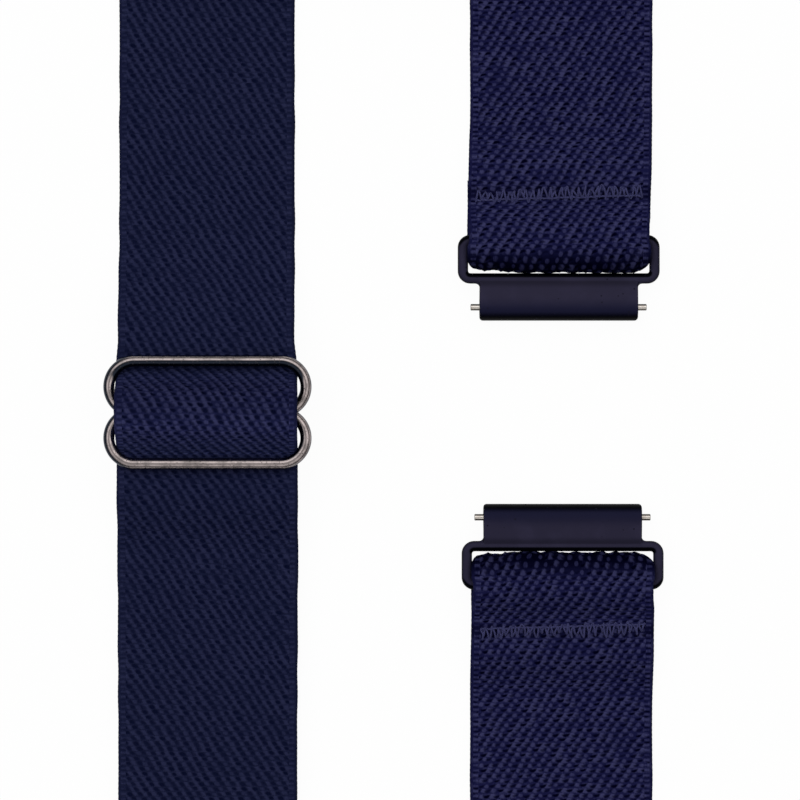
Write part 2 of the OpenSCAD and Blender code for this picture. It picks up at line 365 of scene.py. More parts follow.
class Graph:
    """Adds nodes to one node tree and joins them."""

    def __init__(self, tree: bpy.types.NodeTree) -> None:
        """Starts on a node tree, which may already hold nodes."""
        self.tree = tree

    def feed(self, socket: Socket, value: object) -> None:
        """Joins a socket or a node's first output to an input, or sets the input's own value.

        Args:
            socket: The input.
            value: A socket, a node, a number or a tuple.
        """
        if isinstance(value, bpy.types.Node):
            value = value.outputs[0]
        if isinstance(value, Socket):
            self.tree.links.new(value, socket)
        elif socket.type == "RGBA" and len(value) == 3:
            socket.default_value = (*value, 1.0)
        else:
            socket.default_value = value

    def add(self, kind: str, inputs: dict | None = None, **settings: object) -> bpy.types.Node:
        """Adds a node.

        Args:
            kind: The node's type without its ShaderNode start.
            inputs: Values or sockets for its inputs, by name or by number.
            **settings: Values of the node's own properties.

        Returns:
            The node.
        """
        made = self.tree.nodes.new("ShaderNode" + kind)
        for name, value in settings.items():
            setattr(made, name, value)
        for key, value in (inputs or {}).items():
            self.feed(made.inputs[key], value)
        return made

    def group(self, effect: "Effect", inputs: dict) -> bpy.types.bpy_prop_collection:
        """Places a shared effect with its own values and gives its outputs."""
        return self.add("Group", inputs, node_tree=effect.tree).outputs

    def axes(self, vector: object) -> bpy.types.bpy_prop_collection:
        """Gives the three parts of a vector."""
        return self.add("SeparateXYZ", {0: vector}).outputs

    def math(self, operation: str, *values: object) -> Socket:
        """Works out an operation, such as ADD, on some values or sockets."""
        return self.add("Math", dict(enumerate(values)), operation=operation).outputs[0]

    def swing(self, value: object, reach: float) -> Socket:
        """Turns a value from 0 to 1 into one that swings round 0 within a reach."""
        return self.math("MULTIPLY_ADD", value, reach, -reach / 2)

    def mix(self, share: object, first: object, second: object, kind: str = "RGBA") -> Socket:
        """Mixes two colours, or two numbers.

        Args:
            share: How much of the second, from 0 to 1.
            first: What there is where the share is 0.
            second: What there is where it is 1.
            kind: RGBA for colours, FLOAT for numbers.

        Returns:
            The mix.
        """
        low = 6 if kind == "RGBA" else 2
        made = self.add("Mix", {0: share}, data_type=kind)
        self.feed(made.inputs[low], first)
        self.feed(made.inputs[low + 1], second)
        return made.outputs[low // 3]

    def spread(self, value: object, low: object, high: object, to_low: float = 0.0,
               to_high: float = 1.0) -> Socket:
        """Maps a range of a value smoothly to another range.

        Args:
            value: The value.
            low: Start of its range.
            high: End of its range.
            to_low: Result at the start.
            to_high: Result at the end.

        Returns:
            The mapped value.
        """
        made = self.add("MapRange", {0: value, 1: low, 2: high, 3: to_low, 4: to_high},
                        interpolation_type="SMOOTHSTEP")
        return made.outputs[0]

    def noise(self, vector: object, scale: float, detail: float, rough: float = 0.5) -> Socket:
        """Gives smooth noise around 0.5 of a scale, with octaves and how strong these are."""
        return self.add("TexNoise", {"Vector": vector, "Scale": scale, "Detail": detail,
                                     "Roughness": rough}).outputs[0]


class Effect(Graph):
    """A shader node group, whose first input is a vector and whose other sockets are numbers."""

    def __init__(self, name: str, inputs: tuple[str, ...], outputs: tuple[str, ...]) -> None:
        """Starts the group.

        Args:
            name: Its name.
            inputs: Names of its inputs.
            outputs: Names of its outputs.
        """
        super().__init__(bpy.data.node_groups.new(name, "ShaderNodeTree"))
        for way, labels in (("INPUT", inputs), ("OUTPUT", outputs)):
            for label in labels:
                kind = "NodeSocketVector" if label == inputs[0] else "NodeSocketFloat"
                self.tree.interface.new_socket(label, in_out=way, socket_type=kind)
        self.given = self.tree.nodes.new("NodeGroupInput").outputs
        self.end = self.tree.nodes.new("NodeGroupOutput")

    def give(self, **results: Socket) -> "Effect":
        """Joins sockets to the group's outputs.

        Args:
            **results: The sockets, by the names of the outputs.

        Returns:
            The group.
        """
        for label, result in results.items():
            self.feed(self.end.inputs[label], result)
        return self


class Effects:
    """Node groups that more than one finish uses, each built once."""

    def __init__(self) -> None:
        """Builds the groups."""
        self.twill = self._twill()
        self.fibres = self._fibres()
        self.specks = self._specks()

    @staticmethod
    def _twill() -> Effect:
        """Pebbles of a three-end twill, with ribs in place of them along the selvedge.

        Returns:
            A group that reads rib number, row number and place across from a vector.
        """
        graph = Effect("Twill relief", (
            "Weave", "Lump Wide", "Lump Tall", "Mark Wide", "Mark Tall", "Mark Rise", "Mark Bow",
            "Mark Lift", "Shear", "Selvedge", "Rim", "Dash"), ("Height", "Gap", "Lump", "Tone"))
        given, do = graph.given, graph.math
        rib, row, across = graph.axes(given["Weave"])
        number = do("ROUND", row)
        up = do("SUBTRACT", row, number)
        place = do("MULTIPLY_ADD", number, -1 / 3, rib)
        place = do("SUBTRACT", place, do("MULTIPLY", up, given["Shear"]))
        masks, tones = [], []
        for key, snap, middle in (("Lump", "ROUND", 0.0), ("Mark", "FLOOR", 0.5)):
            which = do(snap, place)
            cell = graph.add("CombineXYZ", {0: which, 1: number})
            random = graph.add("TexWhiteNoise", {"Vector": cell}, noise_dimensions="2D").outputs
            aside, lift, size = graph.axes(random["Color"])
            side = do("SUBTRACT", do("SUBTRACT", place, which), middle)
            side = do("ADD", side, graph.swing(aside, 0.24))
            level = up
            if key == "Mark":
                bow = do("MULTIPLY", do("MULTIPLY", side, side), given["Mark Bow"])
                line = do("MULTIPLY_ADD", side, given["Mark Rise"], given["Mark Lift"])
                level = do("SUBTRACT", up, do("SUBTRACT", line, bow))
            level = do("ADD", level, graph.swing(lift, 0.22))
            reach = graph.add("CombineXYZ", {0: do("DIVIDE", side, given[f"{key} Wide"]),
                                             1: do("DIVIDE", level, given[f"{key} Tall"])})
            reach = graph.add("VectorMath", {0: reach}, operation="LENGTH").outputs["Value"]
            swell = do("MULTIPLY_ADD", size, 0.4, 0.8)
            masks.append(graph.spread(do("DIVIDE", reach, swell), 1.12, 0.38))
            tones.append(random[0])
        # In the webbing's colour the Gap mask (marks and selvedge dashes) is painted shade in the
        # hollows, and the Lump mask a painted highlight.
        mark = do("MULTIPLY", masks[1], do("MULTIPLY_ADD", tones[1], 0.45, 0.60))
        ribs = do("COSINE", do("MULTIPLY", row, 2 * math.pi))
        out = do("ABSOLUTE", across)
        inside = do("LESS_THAN", out, given["Rim"])
        edge = do("GREATER_THAN", out, given["Selvedge"])
        uneven = graph.spread(graph.noise(given["Weave"], 0.9, 2.0), 0.35, 0.65)
        dash = do("MULTIPLY", do("MULTIPLY", graph.spread(ribs, -0.35, -0.9), inside),
                  do("MULTIPLY", uneven, given["Dash"]))
        rise = do("MULTIPLY", graph.spread(ribs, -0.3, 0.9, 0.1, 0.7), inside)
        gap = graph.mix(edge, mark, dash, "FLOAT")
        lump = graph.mix(edge, masks[0], rise, "FLOAT")
        return graph.give(Height=do("SUBTRACT", lump, gap), Gap=gap, Lump=lump, Tone=tones[0])

    @staticmethod
    def _fibres() -> Effect:
        """Fine filaments, as noise stretched along the second axis of a vector.

        Returns:
            The group.
        """
        graph = Effect("Yarn filaments", ("Along", "Scale"), ("Height",))
        thin = graph.add("VectorMath", {0: graph.given["Along"], 1: (1.0, 0.22, 1.0)},
                         operation="MULTIPLY")
        return graph.give(Height=graph.noise(thin, graph.given["Scale"], 2.0))

    @staticmethod
    def _specks() -> Effect:
        """Scattered small round marks, such as pits or dust.

        Returns:
            A group that gives 1 in each mark and 0 between them.
        """
        graph = Effect("Specks", ("Vector", "Scale", "Size", "Share"), ("Mask",))
        given = graph.given
        cells = graph.add("TexVoronoi", {"Vector": given["Vector"], "Scale": given["Scale"]})
        spot = graph.math("LESS_THAN", cells.outputs["Distance"], given["Size"])
        kept = graph.math("LESS_THAN", graph.axes(cells.outputs["Color"])[0], given["Share"])
        return graph.give(Mask=graph.math("MULTIPLY", spot, kept))


class Coat(Graph):
    """A material on one Principled BSDF, with a graph on its nodes."""

    def __init__(self, name: str, **values: object) -> None:
        """Starts the material.

        Args:
            name: Its name.
            **values: Plain values of the shader's own sockets, with _ for a space.
        """
        self.material = bpy.data.materials.new(name)
        self.material.use_nodes = True
        super().__init__(self.material.node_tree)
        self.shader = self.tree.nodes["Principled BSDF"]
        for key, value in values.items():
            self.shader.inputs[key.replace("_", " ")].default_value = value

    def finish(self, strength: float, distance: float, height: Socket, **feeds: object) -> Material:
        """Joins the relief and other sockets to the shader.

        Args:
            strength: Strength of the relief.
            distance: Its height.
            height: The relief itself.
            **feeds: Sockets for other inputs, with _ for a space.

        Returns:
            The material.
        """
        feeds["Normal"] = self.add("Bump", {"Strength": strength, "Distance": distance * MM,
                                            "Height": height})
        for key, value in feeds.items():
            self.feed(self.shader.inputs[key.replace("_", " ")], value)
        return self.material


@dataclass(frozen=True)
class Cloth:
    """How the webbing looks in one column of the strap."""

    pebble: Pebble
    # gap is painted shade in the hollows between pebbles, lump a painted highlight on their tops,
    # dash the strength of painted shade in the selvedge's grooves.
    gap: Colour
    yarn: Colour
    lump: Colour
    dash: float


@dataclass(frozen=True)
class WebbingFinish:
    """Woven elastic: pebbles of navy yarn, with painted shade in the gaps between them and painted
    highlights on their tops.
    """

    near: Cloth
    far: Cloth
    selvedge: tuple[float, float] = (0.905, 0.962)

    def build(self, effects: Effects) -> Material:
        """Builds the material.

        Args:
            effects: The shared node groups.

        Returns:
            The material, which reads the webbing's weave and column, its painted shade at the bend
            and the seam, and its painted light over the slider's centre bar.
        """
        graph = Coat("elastic_webbing", Roughness=0.8, Specular_IOR_Level=0.012,
                     Sheen_Weight=0.015, Sheen_Roughness=0.35, Sheen_Tint=(0.35, 0.4, 0.8, 1.0))
        do = graph.math
        weave = graph.add("Attribute", attribute_name="weave").outputs["Vector"]
        column, opened, stretched = (graph.add("Attribute", attribute_name=name).outputs["Fac"]
                                     for name in ("column", "opened", "stretched"))
        sizes = {name.replace("_", " ").title():
                 graph.mix(column, value, getattr(self.far.pebble, name), "FLOAT")
                 for name, value in vars(self.near.pebble).items()}
        twill = graph.group(effects.twill, {
            "Weave": weave, "Selvedge": self.selvedge[0], "Rim": self.selvedge[1],
            "Dash": graph.mix(column, self.near.dash, self.far.dash, "FLOAT"), **sizes})
        gap, low, high = (graph.mix(column, getattr(self.near, key), getattr(self.far, key))
                          for key in ("gap", "yarn", "lump"))
        hairs = graph.group(effects.fibres, {"Along": weave, "Scale": 9.0})[0]
        worn = graph.swing(twill["Tone"], 0.8)
        worn = do("ADD", worn, graph.swing(graph.noise(weave, 0.16, 3.0), 0.6))
        worn = do("ADD", worn, graph.swing(hairs, 1.2))
        # Painted highlight: the pebbles' tops take the lighter lump colour, less of it where the
        # bend and the seam get painted shade.
        lit = do("SUBTRACT", do("ADD", twill["Lump"], worn), do("MULTIPLY", opened, 0.35))
        yarn = graph.mix(graph.add("Clamp", {0: lit}), low, high)
        bulk = do("MULTIPLY_ADD", twill["Tone"], 0.7, twill["Lump"])
        bulk = do("MULTIPLY_ADD", hairs, 0.5, bulk)
        # Painted shade between the pebbles where the bend and the seam are shaded.
        bare_shade = do("MULTIPLY", opened, graph.spread(bulk, 0.65, 1.30, 1.0, 0.0))
        # Painted shade: the hollows, the selvedge's grooves and the shaded bend take the gap
        # colour.
        colour = graph.mix(do("MAXIMUM", twill["Gap"], bare_shade), yarn, gap)
        # Painted light brightens the face over the slider's centre bar, and painted shade darkens
        # the bend and the seam.
        tone = do("MULTIPLY", do("MULTIPLY_ADD", stretched, 1.05, 1.0),
                  do("MULTIPLY_ADD", opened, -0.42, 1.0))
        colour = graph.add("VectorMath", {0: colour, "Scale": tone}, operation="SCALE")
        height = do("MULTIPLY_ADD", hairs, 0.35, twill["Height"])
        return graph.finish(1.0, 0.05, height, Base_Color=colour)


@dataclass(frozen=True)
class ThreadFinish:
    """Spun sewing thread, lighter than the webbing."""

    # The dark colour is painted shade in the grooves of the ply's twist.
    dark: Colour = (0.004, 0.004, 0.022)
    light: Colour = (0.060, 0.062, 0.170)
    slant: float = 0.6
    twist: float = 2200.0
    hair: float = 14000.0

    def build(self, effects: Effects) -> Material:
        """Builds the material, with the thread's ply as slanted bands and painted shade in the
        grooves between them.

        Args:
            effects: The shared node groups.

        Returns:
            The material.
        """
        graph = Coat("sewing_thread", Roughness=0.7, Specular_IOR_Level=0.08, Sheen_Weight=0.03)
        place = graph.add("TexCoord").outputs["Object"]
        slant = graph.add("Mapping", {"Vector": place, "Rotation": (0.0, 0.0, self.slant)})
        ply = graph.add("TexWave", {"Vector": slant, "Scale": self.twist, "Distortion": 1.5})
        hairs = graph.group(effects.fibres, {"Along": place, "Scale": self.hair})[0]
        share = graph.math("MULTIPLY_ADD", hairs, 0.5, ply.outputs["Fac"])
        share = graph.spread(share, 0.0, 1.1)
        colour = graph.mix(share, self.dark, self.light)
        return graph.finish(0.6, 0.03, share, Base_Color=colour)


@dataclass(frozen=True)
class MetalFinish:
    """Bare or plated metal with fine pits and drawn scratches, with painted shade on its flanks."""

    name: str
    bright: Colour
    dull: Colour
    roughness: float
    pits: float
    # Painted shade: the flanks turn to a dark colour; the two strengths below deepen it on the back
    # of the parts beyond the given Y and on sides that face -X.
    flank: Colour
    dim: float = 0.0
    dim_aside: float = 0.0
    dim_y: tuple[float, float] = (0.0035, 0.0055)
    crown: tuple[float, float] = (0.30, 0.85)
    pit_size: float = 0.28
    pit_scale: float = 5200.0
    film_scale: float = 900.0
    streak_scale: float = 7000.0

    def build(self, effects: Effects) -> Material:
        """Builds the material.

        Args:
            effects: The shared node groups.

        Returns:
            The material.
        """
        graph = Coat(self.name, Metallic=1.0)
        do, seen = graph.math, graph.add("TexCoord").outputs
        place = seen["Object"]
        pits = graph.group(effects.specks, {"Vector": place, "Scale": self.pit_scale,
                                            "Size": self.pit_size, "Share": self.pits})[0]
        film = graph.noise(place, self.film_scale, 4.0, 0.6)
        streaks = graph.group(effects.fibres, {"Along": place, "Scale": self.streak_scale})[0]
        stain = graph.spread(film, 0.38, 0.68)
        across, along, up = graph.axes(seen["Normal"])
        # Painted shade: darker flanks, most on the back of the top bar and on sides that face -X.
        back = do("MINIMUM", do("SUBTRACT", along, 0.22), 0.0)
        outer = do("MULTIPLY", graph.spread(graph.axes(place)[1], *self.dim_y), self.dim)
        crown = do("ADD", do("ABSOLUTE", up), do("MULTIPLY", back, outer))
        aside = do("MULTIPLY", do("MINIMUM", across, 0.0), self.dim_aside)
        crown = graph.spread(do("ADD", crown, aside), *self.crown)
        colour = graph.mix(crown, self.flank, graph.mix(stain, self.bright, self.dull))
        colour = graph.mix(pits, colour, tuple(0.35 * c for c in self.dull))
        rough = do("MULTIPLY_ADD", stain, 0.12, self.roughness)
        rough = do("MULTIPLY_ADD", pits, 0.25, rough)
        height = do("MULTIPLY_ADD", pits, -0.8, do("MULTIPLY_ADD", streaks, 0.35, film))
        return graph.finish(0.5, 0.02, height, Base_Color=colour, Roughness=rough)


@dataclass(frozen=True)
class PaintFinish:
    """Satin dark navy coating on the connectors."""

    base: Colour = (0.0238, 0.0214, 0.0440)
    # Painted shade: the barrel colour darkens the barrel, and the edge colour blacks out its end,
    # the edges and the side that faces the webbing, at the places the fields below give.
    barrel: Colour = (0.0100, 0.0102, 0.0305)
    edge: Colour = (0.0002, 0.0003, 0.0015)
    worn: Colour = (0.020, 0.018, 0.040)
    deep_y: tuple[float, float] = (0.0124, 0.0144)
    end_y: tuple[float, float] = (0.01165, 0.01245)
    bar_y: tuple[float, float] = (0.0148, 0.0160)
    to_web: float = -2.3

    def build(self, effects: Effects) -> Material:
        """Builds the material.

        Args:
            effects: The shared node groups.

        Returns:
            The material, with a fine orange-peel skin, dust and a few dark specks, and with painted
            shade along the barrel, at its end, on the edges and on the side that faces the webbing.
        """
        graph = Coat("connector_coating", Specular_IOR_Level=0.025)
        do, seen = graph.math, graph.add("TexCoord").outputs
        place = seen["Object"]
        cloudy = graph.spread(graph.noise(place, 260.0, 4.0, 0.6), 0.42, 0.72)
        specks, dust = (
            graph.group(effects.specks, {"Vector": place, "Scale": scale, "Size": size,
                                         "Share": share})[0]
            for scale, size, share in ((1500.0, 0.16, 0.12), (3300.0, 0.13, 0.06)))
        y = graph.axes(place)[1]
        along = do("ABSOLUTE", y)
        colour = graph.mix(cloudy, self.base, tuple(1.2 * c for c in self.base))
        # Painted shade along the barrel.
        colour = graph.mix(graph.spread(along, *self.deep_y), self.barrel, colour)
        # Painted shade: near black at the barrel's end, on the edges and on the side that faces the
        # webbing.
        _, looks_y, looks_z = graph.axes(seen["Normal"])
        web = do("MAXIMUM", do("MULTIPLY", looks_y, do("SIGN", y)), 0.0)
        web = do("MULTIPLY", web, graph.spread(along, *self.bar_y))
        flat = do("MULTIPLY_ADD", web, self.to_web, do("ABSOLUTE", looks_z))
        rim = do("MINIMUM", graph.spread(along, *self.end_y), graph.spread(flat, 0.25, 0.90))
        colour = graph.mix(rim, self.edge, colour)
        colour = graph.mix(specks, colour, tuple(0.4 * c for c in self.base))
        colour = graph.mix(dust, colour, self.worn)
        height = do("MULTIPLY_ADD", specks, -0.7, graph.noise(place, 4200.0, 2.0))
        return graph.finish(0.35, 0.012, height, Base_Color=colour,
                            Roughness=do("MULTIPLY_ADD", cloudy, 0.08, 0.40))


class Finishes:
    """Every material of the strap, by the piece it dresses."""

    def __init__(self, effects: Effects) -> None:
        """Builds the materials.

        Args:
            effects: The shared node groups.
        """
        self.webbing = WebbingFinish(
            # Per column: painted shade for the gaps, the yarn, a painted highlight for the pebble
            # tops and the strength of the selvedge's painted shade.
            Cloth(CRISP, (0.0, 0.0, 0.0080), (0.0085, 0.0090, 0.0470),
                  (0.0385, 0.0395, 0.1120), 0.9),
            Cloth(SOFT, (0.0026, 0.0042, 0.0205), (0.0085, 0.0110, 0.0365),
                  (0.0190, 0.0222, 0.0620), 0.45)).build(effects)
        self.thread = ThreadFinish().build(effects)
        self.wire = MetalFinish(
            # The dark side colours of the wire and the steel are painted shade.
            "plated_wire", (0.48, 0.41, 0.40), (0.27, 0.235, 0.23), roughness=0.15, pits=0.30,
            flank=(0.022, 0.027, 0.040), dim=3.0, dim_aside=1.1).build(effects)
        self.steel = MetalFinish(
            "turned_steel", (0.92, 0.86, 0.80), (0.62, 0.55, 0.49), roughness=0.20, pits=0.05,
            flank=(0.03, 0.024, 0.016), crown=(0.55, 0.96)).build(effects)
        self.paint = PaintFinish().build(effects)


@dataclass
class Course:
    """The line that the middle of the webbing follows in a column, with the way its face looks."""

    rows: list[tuple[float, float, float, float]] = field(default_factory=list)

    def line(self, y: float, z: float, up: int = 1) -> "Course":
        """Goes straight to a level place, with the face up or, where up is -1, down."""
        self.rows.append((y, z, 0.0, float(up)))
        return self

    def arc(self, centre: tuple[float, float], radius: float, start: float, end: float,
            face: int) -> "Course":
        """Goes round a bar.

        Args:
            centre: The bar's place along Y and its height.
            radius: Distance from the bar's middle to the webbing's.
            start: Angle where the bend starts, in degrees.
            end: Angle where it ends.
            face: 1 where the face looks away from the bar, -1 where it looks at it.

        Returns:
            This course.
        """
        for angle in np.radians(np.linspace(start, end, max(3, int(abs(end - start) / 3)))):
            c, s = math.cos(angle), math.sin(angle)
            self.rows.append((centre[0] + radius * c, centre[1] + radius * s, face * c, face * s))
        return self

    def ramp(self, y: float, z: float, steps: int = 24) -> "Course":
        """Goes to another level along an S curve, with the face up.

        Args:
            y: Where it ends along Y.
            z: The height where it ends.
            steps: Number of short runs.

        Returns:
            This course.
        """
        y0, z0 = self.rows[-1][:2]
        for i in range(1, steps + 1):
            part = math.pi * i / steps
            slope = (z - z0) / (y - y0) * math.pi / 2 * math.sin(part)
            length = math.hypot(slope, 1)
            self.rows.append((y0 + (y - y0) * i / steps, z0 + (z - z0) * (1 - math.cos(part)) / 2,
                              -slope / length, 1 / length))
        return self

    def table(self) -> tuple[Array, Array]:
        """Gives the length up to each row, and the rows as an array.

        Returns:
            The lengths and the rows.
        """
        rows = np.array(self.rows)
        steps = np.hypot(*np.diff(rows[:, :2], axis=0).T)
        rows = rows[np.r_[True, steps > 1e-6]]
        return np.r_[0, np.cumsum(np.hypot(*np.diff(rows[:, :2], axis=0).T))], rows

    def read(self, t: Array) -> Array:
        """Gives place along Y, height and both parts of the face's direction at some lengths."""
        lengths, rows = self.table()
        return np.stack([np.interp(t, lengths, rows[:, k]) for k in range(4)], 1)


def end_course() -> Course:
    """Sets out a sewn end: fold-back, bend round the connector's bar, and away from it.

    Returns:
        Its course.
    """
    lay, cut = LAYOUT, LAYOUT.seam_y + LAYOUT.seam_margin
    course = Course().line(cut, lay.table_z, -1).line(lay.fold_y + 3, lay.table_z, -1)
    course.arc((lay.fold_y, lay.ring_z), lay.eye_r, -90, -270, 1)
    course.line(lay.ring_y + 0.4, lay.ring_z + lay.eye_r)
    course.ramp(lay.seam_y - 1.4, lay.second_z).line(cut + 0.4, lay.second_z)
    return course.ramp(cut + 6, lay.table_z).line(lay.turn_start, lay.table_z)


def weave_course() -> Course:
    """Sets out the upper webbing through the slider and on to its free end.

    Returns:
        Its course.
    """
    lay, ramp = LAYOUT, LAYOUT.ramp_angle
    tail_z = lay.slider_z - lay.under_r
    course = Course().line(lay.turn_start, lay.table_z).line(lay.edge_y + 17, lay.table_z)
    course.ramp(lay.edge_y + 2.6, tail_z)
    course.arc((lay.edge_y, lay.slider_z), lay.under_r, -90, -90 - ramp, -1)
    course.arc((0, lay.slider_z), lay.hump_r, 90 - ramp, 90 + ramp, 1)
    course.arc((-lay.edge_y, lay.slider_z), lay.under_r, ramp - 90, -90, -1)
    course.line(-lay.slider_fold_back - 0.6, tail_z)
    return course.ramp(-lay.slider_fold_back - 8, lay.second_z).line(-lay.tail_y, lay.second_z)


def wrap_course() -> Course:
    """Sets out the lower webbing round the slider's centre bar, with +Y and -Y swapped.

    Returns:
        Its course.
    """
    lay, ramp = LAYOUT, LAYOUT.ramp_angle
    lift_y, lift_z = lay.edge_y - 0.9, lay.table_z + lay.lift_r
    rise = lay.slider_z - lay.table_z - lay.lift_r
    leg = math.degrees(math.acos((lay.wrap_r - lay.lift_r) / math.hypot(lift_y, rise))
                       - math.atan2(lift_y, rise))
    course = Course().line(lay.turn_start, lay.table_z)
    course.arc((lift_y, lift_z), lay.lift_r, -90, -90 - leg, -1)
    course.arc((0, lay.slider_z), lay.wrap_r, -90 - leg, -270 - ramp, -1)
    course.arc((lay.edge_y, lay.slider_z), lay.under_r + lay.layer, -90 - ramp, -90, 1)
    return course.line(lay.slider_fold_back, lay.second_z, -1)


class Webbing:
    """One length of webbing, with the lengths from its sewn end's cut where things change."""

    def __init__(self, side: Side) -> None:
        """Sets out the three parts of the length: sewn end, turn and slider column.

        Args:
            side: Which of the two lengths it is.
        """
        lay = LAYOUT
        self.side = side
        self.near = end_course()
        self.far = weave_course() if side is Side.UPPER else wrap_course()
        self.turn_t = self.near.table()[0][-1]
        beyond = 200.0
        probe = self.turn(np.zeros(1), np.array([beyond]))[0]
        self.far_t = self.turn_t + probe[0, 1] + beyond + lay.turn_mid - 2 * lay.turn_start
        self.end_t = self.far_t + self.far.table()[0][-1]
        self.split_t = (self.turn_t + self.far_t) / 2
        self.ring_t = self.turn_t - (lay.turn_start - lay.ring_y)
        self.bar_t = self.far_t + lay.turn_start - lay.bar_pitch

    def turn(self, s: Array, t: Array) -> tuple[Array, Array]:
        """Bends the flat strip through the two soft mitre folds.

        Args:
            s: Place across.
            t: Length past the level of the first fold's middle.

        Returns:
            Places and face normals.
        """
        r, turned = LAYOUT.fold_r, math.pi * LAYOUT.fold_r
        root = math.sqrt(0.5)
        x0, x1, y0 = self.side.centre_x, LAYOUT.left_x, LAYOUT.turn_mid
        w, v = (s + t) * root, (s - t) * root
        angle = np.clip(w / r, 0, math.pi)
        along = np.where(w < 0, w, np.where(w > turned, turned - w, r * np.sin(angle)))
        place = np.stack([x0 + (v + along) * root, y0 + (along - v) * root,
                          r * (1 - np.cos(angle))], 1)
        normal = np.stack([-np.sin(angle) * root, -np.sin(angle) * root, np.cos(angle)], 1)
        shift = turned * root
        dx, dy = place[:, 0] - x1 - shift, place[:, 1] - y0 - shift
        past, level = (dy - dx) * root, (dx + dy) * root
        second = ((w > turned) & (past > 0))[:, None]
        angle = np.clip(past / r, 0, math.pi)
        along = np.where(past > turned, turned - past, r * np.sin(angle))
        bent = np.stack([x1 + shift + (level - along) * root, y0 + shift + (level + along) * root,
                         r * (1 + np.cos(angle))], 1)
        bent_normal = np.stack([np.sin(angle) * root, -np.sin(angle) * root, -np.cos(angle)], 1)
        place = np.where(second, bent, place)
        place[:, 2] += LAYOUT.table_z
        return place, np.where(second, bent_normal, normal)


class Reading:
    """How the webbing lies and looks at some lengths from its sewn end's cut."""

    def __init__(self, webbing: Webbing, t: Array) -> None:
        """Reads the courses of both columns.

        Args:
            webbing: The length of webbing.
            t: The lengths from its cut.
        """
        self.webbing, self.t = webbing, t
        self.near, self.far = webbing.near.read(t), webbing.far.read(t - webbing.far_t)
        self.in_near, self.in_far = t < webbing.turn_t, t > webbing.far_t

    def tilt(self) -> Array:
        """How upright the webbing stands in the bend round the connector's bar, up to 1."""
        bend = self.in_near & (self.near[:, 0] < LAYOUT.fold_y + 0.01)
        return np.where(bend, np.abs(self.near[:, 2]), 0)

    def pull(self) -> Array:
        """How far the seam's thread pulls the face in, up to 1 along the seam's middle."""
        face = self.in_near & (self.t > LAYOUT.seam_back + 2)
        return np.where(face, np.exp(-((self.near[:, 0] - LAYOUT.stitch_y) / 0.85) ** 4), 0)

    def opened(self) -> Array:
        """How far the yarns spread and show the dark core near the bend round the bar, with painted
        shade where the bend turns from the light and in the seam's pulled-in crease.

        Returns:
            0 where the webbing is closed and unshaded, and 1 where the yarns spread and the painted
            shade is deepest.
        """
        y = self.near[:, 0] - LAYOUT.web_t / 2 * np.abs(self.near[:, 2])
        bent = ease(y, LAYOUT.fold_y + 1.0, LAYOUT.fold_y - 2.2)
        return np.where(self.in_near, np.maximum(bent, 0.45 * self.pull()), 0)

    def stretched(self) -> Array:
        """How much painted light brightens the face where it is pulled taut over the slider's
        centre bar.

        Returns:
            0 where the webbing lies flat and 1 on the far side of the bar.
        """
        y = self.far[:, 0]
        over = ease(y, 0.8, -3.6) * ease(y, -5.7, -4.3)
        over += 0.22 * ease(y, 5.5, 4.8) * ease(y, 2.6, 3.8)
        return np.where(self.in_far, over, 0)

    def column(self) -> Array:
        """How far the weave looks as in the slider's column, less so on the hump over its bar."""
        crest = np.where(self.in_far, ease(np.abs(self.far[:, 0] - 0.3), 4.6, 1.8), 0)
        return ease(self.t, self.webbing.turn_t + 2, self.webbing.far_t - 2) - 0.42 * crest

    def sway(self) -> Array:
        """How far the webbing lies beside its column's line, along X.

        Returns:
            One distance for each length.
        """
        web = self.webbing
        near, far, before, after = ((0.02, 0.36, -0.26, -0.10) if web.side is Side.UPPER
                                    else (0.02, -0.12, 0.0, 0.0))
        places = (web.ring_t + 3, web.ring_t + 15, web.turn_t, web.turn_t + 25, web.far_t - 25,
                  web.far_t, web.bar_t - 4, web.bar_t + 6)
        return np.interp(self.t, places, (near, far, far, 0, 0, before, before, after))

    def width(self) -> Array:
        """How wide the webbing is, as a share of its nominal width.

        Returns:
            One share for each length.
        """
        web = self.webbing
        right = np.interp(self.t - web.ring_t, [-8.4, -8.0, -6.4, -5.4, -1.4, -0.75, 0.8, 2.6],
                          [1.029, 1.013, 1.013, 1.031, 1.031, 1.013, 1.013, 1.029])
        if web.side is Side.UPPER:
            left = np.interp(self.t, [web.far_t, web.bar_t - 2, web.bar_t + 2, web.end_t],
                             [0.990, 0.994, 1.022, 1.008])
        else:
            gathered = (LAYOUT.loop_x + 0.45) / LAYOUT.half_w
            left = gathered + (0.99 - gathered) * np.clip((self.far[:, 0] - 1) / 4, 0, 1)
        share = np.clip((self.t - web.turn_t) / (web.far_t - web.turn_t), 0, 1)
        return right * (1 - share) + left * share

    def lay(self, s: Array, h: Array) -> Array:
        """Lays points of the flat strip in the strap.

        Args:
            s: Place of each point across.
            h: Its height above the middle of the webbing, towards the face.

        Returns:
            Places in millimetres.
        """
        web, wide = self.webbing, s * self.width()
        turn, normal = web.turn(wide, self.t - web.turn_t + LAYOUT.turn_start - LAYOUT.turn_mid)
        place = turn + normal * h[:, None]
        for rows, here, x in ((self.near, self.in_near, web.side.centre_x + wide),
                              (self.far, self.in_far, LAYOUT.left_x - wide)):
            normal = rows[:, 2:] / np.hypot(rows[:, 2], rows[:, 3])[:, None]
            spot = np.stack([x, rows[:, 0] + normal[:, 0] * h, rows[:, 1] + normal[:, 1] * h], 1)
            place = np.where(here[:, None], spot, place)
        place[:, 0] += self.sway()
        place[:, 1] *= web.side.sign
        return place


